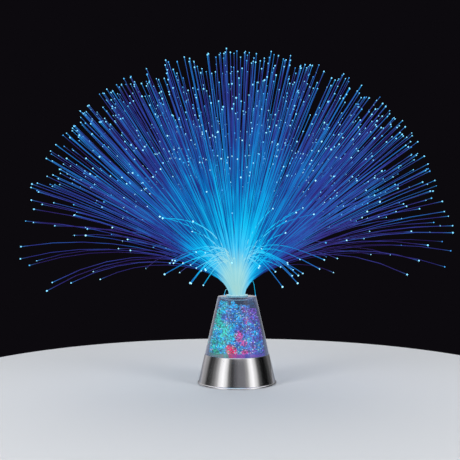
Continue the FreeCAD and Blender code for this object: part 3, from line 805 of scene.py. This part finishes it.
# two strands kinked at the plug, which hang down onto the cap
kinkedStrands = {
    "tone": 0.9, "swell": 0.9,
    "routes": [[(-6.8, -4.2, 96.8), (-8.4, -5.2, 100.5), (-10.6, -6.4, 103.4), (-12.4, -7.2, 102.6),
                (-13.4, -7.6, 99.4), (-13.9, -7.8, 96.4)],
               [(7.6, -3.0, 96.8), (10.2, -4.2, 104.0), (13.6, -5.4, 110.0), (17.2, -6.4, 112.4),
                (18.6, -6.8, 108.0), (19.4, -7.0, 102.0), (20.2, -7.2, 95.8)]],
}


def headingOf(polar, azimuth):
    return Vector((sin(polar) * cos(azimuth), sin(polar) * sin(azimuth), cos(polar)))


def polarAngle(share, away, length):
    flare = fountain["flareAngle"] * share ** fountain["flarePower"]
    flare *= 1 - exp(-away / fountain["flareReach"])
    sag = fountain["sagAngle"] * share ** fountain["sagPower"] * (away / length) ** fountain["sagOnset"]
    return flare + sag


def strandPath(share, azimuth, length, bend=0.0, drift=0.0):
    launch = fountain["launchRadius"] * sqrt(share)
    steps = fountain["steps"]
    spot = Vector((launch * cos(azimuth), launch * sin(azimuth), fountain["rise"]))
    line = [spot.copy()]
    for k in range(steps):
        travelled = (k + 0.5) / steps
        polar = radians(polarAngle(share, travelled * length, length) + bend * travelled)
        spot += headingOf(polar, azimuth + radians(drift) * travelled) * (length / steps)
        line.append(spot.copy())
    spans = fountain["spans"] + round(polarAngle(share, length, length) / fountain["spanAngle"])
    return [line[round(steps * (n / spans) ** fountain["bias"])] for n in range(spans + 1)]


def fittedPath(share, azimuth, length, bend, drift):
    # a strand that would reach past the CAD's box is made shorter
    path = strandPath(share, azimuth, length, bend, drift)
    tip = path[-1]
    over = (tip.z - fountain["rise"]) / (fountain["top"] - fountain["rise"])
    for axis in range(2):
        side = cadBox[1][axis] if tip[axis] > 0 else -cadBox[0][axis]
        over = max(over, abs(tip[axis]) / (side / mm - fountain["edgeRoom"]))
    if over > 1:
        path = strandPath(share, azimuth, length / over * fountain["fitted"], bend, drift)
    return path


def followStrands(dice, share, azimuth):
    # strands that left the plug beside a leader stay loosely with it
    count = fountain["following"][min(3, int(4 * share))] + (dice.random() < 0.5)
    if share > fountain["thinFrom"] and -sin(azimuth) > fountain["thinSide"]:
        count = 0
    elif share > fountain["thinShare"]:
        count = fountain["thinCount"]
    endAngle = radians(polarAngle(share, fountain["length"], fountain["length"]))
    wide = max(sin(endAngle), fountain["leastWide"])
    group = []
    for k in range(count):
        near = min(1.0, fountain["leastShare"] + abs(share + dice.gauss(0, fountain["shareSpread"])))
        turn = azimuth + radians(dice.gauss(0, fountain["clumpSpread"])) / wide
        if dice.random() < fountain["fullShare"]:
            cut = 1 - fountain["fullCrop"] * dice.random() ** 2
        else:
            cut = dice.uniform(*fountain["cutTo"])
        own = fountain["length"] * (1 - fountain["crop"] * near) * cut
        bend, drift = dice.gauss(0, fountain["bendSpread"]), dice.gauss(0, fountain["driftSpread"])
        group.append((fittedPath(near, turn, own, bend, drift), near, own))
    return group


def shortPath(dice, kind):
    azimuth = -radians(dice.gauss(kind["turn"], kind["turnSpread"]))
    if dice.random() < 0.5:
        azimuth = pi - azimuth
    launch = fountain["launchRadius"] * dice.uniform(*fountain["shortLaunch"])
    fromFront = Vector((cos(azimuth), sin(azimuth), 0)).lerp(Vector((0, -1, 0)), kind["front"])
    spot = fromFront.normalized() * launch + Vector((0, 0, fountain["rise"]))
    bend, reach = dice.uniform(*kind["bend"]), dice.uniform(*kind["reach"])
    length = reach * dice.uniform(*kind["length"])
    path = [spot.copy()]
    steps = fountain["shortSteps"]
    for k in range(steps):
        travelled = (k + 0.5) / steps * length
        polar = radians(bend * (1 - exp(-(travelled / reach) ** kind["power"])))
        spot += headingOf(polar, azimuth) * (length / steps)
        path.append(spot.copy())
    return path, length


def planStrands():
    lengths = random.Random(fountain["lengthSeed"])
    dice = random.Random(fountain["followSeed"])
    strands = []
    for k in range(fountain["leaders"]):
        share = (k + 0.5) / fountain["leaders"]
        azimuth = k * goldenAngle
        length = fountain["length"] * (1 - fountain["crop"] * share)
        length *= 1 - fountain["spread"] * lengths.random()
        clump = dice.random()
        group = [(strandPath(share, azimuth, length), share, length)] + followStrands(dice, share, azimuth)
        for path, near, cutLength in group:
            tone = fountain["clumpTone"] * clump + fountain["ownTone"] * dice.random()
            swell = dice.uniform(*fountain["swell"])
            if dice.random() < fountain["accents"]:
                tone, swell = fountain["accentTone"], fountain["accentSwell"]
            low = max(0.0, (near - fountain["lowFrom"]) / (1 - fountain["lowFrom"]))
            strands.append((path, near, cutLength, tone * (1 - fountain["lowDim"] * low), swell))
    for kind in shortStrands:
        for k in range(kind["count"]):
            path, length = shortPath(dice, kind)
            strands.append((path, 1.0, length, dice.uniform(*fountain["shortTone"]), fountain["shortSwell"]))
    plans = {name: [] for name, low, high in fountain["tiers"]}
    for path, share, length, tone, swell in strands:
        endAngle = polarAngle(share, length, length)
        for name, low, high in fountain["tiers"]:
            if low <= endAngle < high:
                plans[name].append((path, tone, swell))
    for route in kinkedStrands["routes"]:
        path = [Vector(point) for point in route]
        plans["low"].append((path, kinkedStrands["tone"], kinkedStrands["swell"]))
    return plans


def buildStrands(name, plan):
    bunch, curve = curvePiece(name, fountain["strandRadius"] * mm, 1)
    tones, ends = [], []
    for path, tone, swell in plan:
        last, before = path[-1], path[-2]
        back = min(fountain["tipGlow"], fountain["tipShare"] * (last - before).length)
        route = path[:-1] + [last + (before - last).normalized() * back, last]
        line = curve.splines.new("POLY")
        line.points.add(len(route) - 1)
        line.points.foreach_set("co", [c for p in route for c in (p.x * mm, p.y * mm, p.z * mm, 1.0)])
        line.points.foreach_set("radius", [swell] * len(route))
        tones += [tone] * len(route)
        ends += [0.0] * (len(route) - 1) + [1.0]
    bunch = meshOfCurve(bunch)
    around = len(bunch.data.vertices) // len(tones)
    for label, values in (("tone", tones), ("end", ends)):
        setValues(bunch, label, "POINT", [value for value in values for vertex in range(around)])
    pickOnly(bunch)
    bpy.ops.object.mode_set(mode="EDIT")
    bpy.ops.mesh.select_all(action="SELECT")
    bpy.ops.mesh.fill_holes(sides=around)
    bpy.ops.mesh.normals_make_consistent(inside=False)
    bpy.ops.object.mode_set(mode="OBJECT")
    bpy.ops.object.shade_smooth()
    return bunch


drop = {
    "radius": 0.7, "long": 1.25, "neckBelow": 0.3, "neckShare": 0.72,
    "least": 0.72, "range": 0.4, "mostSwell": 1.2, "thickTone": 0.95,
    # a tip far out is a little smaller and dimmer
    "outerFrom": 0.6, "outerSmaller": 0.12, "outerDimmer": 0.28,
    # multiples of a strand's tone whose fractions scatter the size and the light of its drop
    "sizeScatter": 7.31, "toneScatter": 13.7,
}


def dropModel():
    # a cut end melted into a small drop, with a neck behind it
    deselectAll()
    bpy.ops.mesh.primitive_uv_sphere_add(segments=8, ring_count=5, radius=drop["radius"] * mm)
    model = bpy.context.object
    model.name = "dropModel"
    bpy.ops.object.mode_set(mode="EDIT")
    bpy.ops.mesh.select_all(action="SELECT")
    bpy.ops.transform.resize(value=(1, 1, drop["long"]))
    bpy.ops.object.mode_set(mode="OBJECT")
    for v in model.data.vertices:
        if v.co.z < -drop["neckBelow"] * mm:
            v.co.x *= drop["neckShare"]
            v.co.y *= drop["neckShare"]
    return model


def buildDrops(name, plan, model):
    drops = []
    plugTop = Vector((0, 0, fountain["rise"]))
    for path, tone, swell in plan:
        heading = (path[-1] - path[-2]).normalized()
        reach = (path[-1] - plugTop).length / fountain["length"]
        outer = min(1.0, max(0.0, reach - drop["outerFrom"]) / (1 - drop["outerFrom"]))
        size = drop["least"] + drop["range"] * ((tone * drop["sizeScatter"]) % 1.0)
        size *= min(swell, drop["mostSwell"]) * (1 - drop["outerSmaller"] * outer)
        back = heading * (drop["long"] * drop["radius"] * size)
        turned = heading.to_track_quat("Z", "Y").to_matrix().to_4x4()
        copy = copyPiece(model, Matrix.Translation((path[-1] - back) * mm) @ turned @ Matrix.Scale(size, 4))
        bright = drop["thickTone"] if swell > 1 else (tone * drop["toneScatter"]) % 1.0
        bright *= 1 - drop["outerDimmer"] * outer
        setValues(copy, "tone", "POINT", [bright] * len(copy.data.vertices))
        drops.append(copy)
    bunch = joinPieces(drops, name)
    pickOnly(bunch)
    bpy.ops.object.shade_smooth()
    return bunch


# how light dies away along the strands, in millimetres from the flange, and its colour on the way
fiberLight = {
    "from": 98.0, "lean": 8.0, "depth": 0.6, "reach": 255.0, "share": 0.78, "shortShare": 0.56,
    "patches": 0.3,
    # the sides lose light sooner, but less so far out
    "sidePower": 3.0, "sideLoss": 250.0, "lossBy": 90.0, "even": (100.0, 190.0), "evenShare": 0.38,
    "dim": [(0, "#9cd2d2"), (24, "#80cadc"), (44, "#0e88c8"), (66, "#0c4492"), (99, "#1e2c7c"),
            (132, "#2a2474"), (165, "#2e2474"), (198, "#302472"), (231, "#2e2068"), (255, "#2a1a5a")],
    "middling": [(0, "#a4d6d2"), (24, "#98d8e2"), (44, "#28c0f4"), (56, "#10b4f0"), (66, "#049ee0"),
                 (99, "#0c5cb0"), (132, "#1c449a"), (165, "#28409c"), (198, "#2c42a0"), (231, "#323c98"),
                 (255, "#34348a")],
    "bright": [(0, "#a8d8d2"), (24, "#a0dce4"), (44, "#64d2f8"), (56, "#30ccfa"), (66, "#14c8fa"),
               (99, "#0cacee"), (132, "#147ccc"), (165, "#1c72c4"), (198, "#2070c4"), (231, "#246cc0"),
               (255, "#2860ac")],
}


def lightFiber():
    # drawn PMMA: what light leaks from its side is bright by the plug and dies away along it. Strands differ,
    # some clear and azure, some dim and indigo, and each one varies along itself in loose patches
    finish, add, shader = newFinish("pmma light fiber", {
        "Base Color": "#02050f", "Roughness": 0.4, "IOR": 1.49, "Specular IOR Level": 0.03,
        "Emission Strength": 1.0})
    light = fiberLight
    point = add("TexCoord").outputs["Object"]
    # the upright strands carry their light further than those that bend out to the sides
    fromPlug = add("VectorMath", [point, (0, 0, light["from"] * mm)], operation="SUBTRACT")
    tipped = add("Mapping", {"Vector": fromPlug, "Rotation": (0, radians(light["lean"]), 0)})
    squeezed = add("VectorMath", [tipped, (1, light["depth"], 1)], operation="MULTIPLY")
    away = add("VectorMath", [squeezed], operation="LENGTH")
    flat = add("VectorMath", [tipped, (1, 0, 1)], operation="MULTIPLY")
    heading = add("VectorMath", [flat], operation="NORMALIZE")
    lean = add("Math", [add("SeparateXYZ", [heading]).outputs["X"]], operation="ABSOLUTE")
    bent = add("Math", [lean, light["sidePower"]], operation="POWER")
    far = add("MapRange", [away, 0.0, light["lossBy"] * mm, 0.0, light["sideLoss"] * mm])
    even = add("MapRange", [away, *[far * mm for far in light["even"]], 1.0, light["evenShare"]])
    spread = add("Math", [far, even], operation="MULTIPLY")
    loss = add("Math", [bent, spread], operation="MULTIPLY")
    reach = add("Math", [away, light["share"], loss], operation="MULTIPLY_ADD")
    # a strand cut short leaks the light that a long one would still carry: its tone goes past one
    own = add("Attribute", attribute_name="tone").outputs["Fac"]
    spared = add("MapRange", [own, 1.0, 2.0, 1.0, light["shortShare"]])
    held = add("Math", [reach, spared], operation="MULTIPLY")
    span = add("MapRange", [held, 0.0, light["reach"] * mm])
    patch = add("TexNoise", {"Vector": point, "Scale": 28.0, "Detail": 1.0})   # 36 mm patches
    loose = add("MapRange", [patch, 0.3, 0.7, -light["patches"], light["patches"]])
    tone = add("Math", [own, loose], operation="ADD", use_clamp=True)
    lights = []
    for name in ("dim", "middling", "bright"):
        stops = [(gone / light["reach"], tint) for gone, tint in light[name]]
        lights.append(fillRamp(add("ValToRGB", [span]), stops))
    lower = add("MapRange", [tone, 0.12, 0.5])
    upper = add("MapRange", [tone, 0.55, 0.95])
    first = add("Mix", {0: lower, 6: lights[0], 7: lights[1]}, data_type="RGBA")
    second = add("Mix", {0: upper, 6: first, 7: lights[2]}, data_type="RGBA")
    # light thrown back by the cut end brightens the last centimetre
    end = add("Attribute", attribute_name="end").outputs["Fac"]
    near = add("Math", [end, 1.3], operation="POWER")
    thrown = add("MapRange", [tone, 0.0, 1.0, 0.2, 0.9])
    back = add("Math", [near, thrown], operation="MULTIPLY")
    lit = add("Mix", {0: back, 6: second, 7: "#2098e0"}, data_type="RGBA")
    feedNode(shader, {"Emission Color": lit})
    return finish


def litTips():
    # the cut end is where the light leaves, so the drop is far brighter than the side of its fibre
    finish, add, shader = newFinish("melted fiber end", {
        "Base Color": "#0c2c50", "Roughness": 0.25, "IOR": 1.49, "Specular IOR Level": 0.2,
        "Emission Strength": 1.5})
    own = add("Attribute", attribute_name="tone").outputs["Fac"]
    ramp = fillRamp(add("ValToRGB", [own]), [
        (0.0, "#2c7ccc"), (0.25, "#3c9ce0"), (0.5, "#58bef2"), (0.75, "#80d8fa"), (1.0, "#b0f0fe")])
    feedNode(shader, {"Emission Color": ramp})
    return finish


def buildFountain():
    strandFinish, tipFinish = lightFiber(), litTips()
    plans = planStrands()
    model = dropModel()
    for name, low, high in fountain["tiers"]:
        strands = buildStrands(f"{name}Strands", plans[name])
        dressPiece(strands, strandFinish, "spray", "lit_fiber", f"fibers_{name}")
        drops = buildDrops(f"{name}Tips", plans[name], model)
        dressPiece(drops, tipFinish, "spray", "lit_fiber")
        print(name, len(plans[name]), "strands", len(strands.data.polygons), "faces")
    bpy.data.objects.remove(model)


# plug: the potted bundle and its clear collar

plug = {"radius": 9.5, "bottom": 73.0, "top": 96.8, "litFrom": 94.0, "boreGap": 0.02,
        "collarRadius": 12.0, "collarBottom": 95.0}


def pottedFibers():
    # fibre ends set in clear epoxy: lit where they leave it, dull down its side inside the tube
    finish, add, shader = newFinish("fibers potted in epoxy", {
        "Base Color": "#5a7484", "Roughness": 0.3, "Emission Strength": 0.9})
    point = add("TexCoord").outputs["Object"]
    axes = add("SeparateXYZ", [point]).outputs
    height = add("MapRange", [axes["Z"], plug["litFrom"] * mm, plug["top"] * mm])
    glow = fillRamp(add("ValToRGB", [height]), [
        (0.0, "#24384c"), (0.4, "#345066"), (0.75, "#a4dce0"), (1.0, "#ccf0ea")])
    ends = add("TexVoronoi", {"Vector": point, "Scale": 1 / (0.6 * mm)})   # a fibre every 0.6 mm
    packed = fillRamp(add("ValToRGB", [ends]), [
        (0.0, "#ffffff"), (0.5, "#d8dcdc"), (0.9, "#606c74")])
    lit = add("Mix", {0: 1.0, 6: glow, 7: packed}, data_type="RGBA", blend_type="MULTIPLY")
    feedNode(shader, {"Emission Color": lit})
    return finish


def frostedCollar():
    # acrylic ring frosted by its glue, lit through from the plug and brightest along its top edge
    finish, add, shader = newFinish("frosted acrylic", {
        "Base Color": "#8cb4bc", "Roughness": 0.25, "IOR": 1.49, "Transmission Weight": 0.3,
        "Emission Strength": 0.4})
    point = add("TexCoord").outputs["Object"]
    axes = add("SeparateXYZ", [point]).outputs
    height = add("MapRange", [axes["Z"], plug["collarBottom"] * mm, plug["top"] * mm])
    frost = add("TexNoise", {"Vector": point, "Scale": 400.0, "Detail": 2.0})   # 2.5 mm clouds
    cloud = add("MapRange", [frost, 0.0, 1.0, -0.15, 0.15])
    share = add("Math", [height, cloud], operation="ADD", use_clamp=True)
    glow = fillRamp(add("ValToRGB", [share]), [
        (0.0, "#2c5878"), (0.5, "#68b0c8"), (0.85, "#d8f4f4"), (1.0, "#c0e8ec")])
    feedNode(shader, {"Emission Color": glow})
    return finish


def buildPlug():
    low, top, reach = plug["bottom"], plug["top"], plug["radius"]
    profile = [(0, low), (reach - 0.3, low), (reach, low + 0.3), (reach, top - 0.2), (reach - 0.2, top),
               (0, top)]
    rod = turnProfile("pottedPlug", profile, 72, 35)
    dressPiece(rod, pottedFibers(), "spray", "lit_bundle", "fiber_bundle")
    bottom, out, bore = plug["collarBottom"], plug["collarRadius"], reach + plug["boreGap"]
    profile = [(bore, bottom), (out - 0.3, bottom), (out, bottom + 0.3), (out, top - 0.5),
               (out - 0.15, top - 0.15), (out - 0.5, top), (bore + 0.28, top), (bore, top - 0.3),
               (bore, bottom)]
    ring = turnProfile("plugCollar", profile, 72)
    dressPiece(ring, frostedCollar(), "spray", "collar_acrylic", "fiber_collar")


buildPlug()
buildFountain()
print("fountain done")
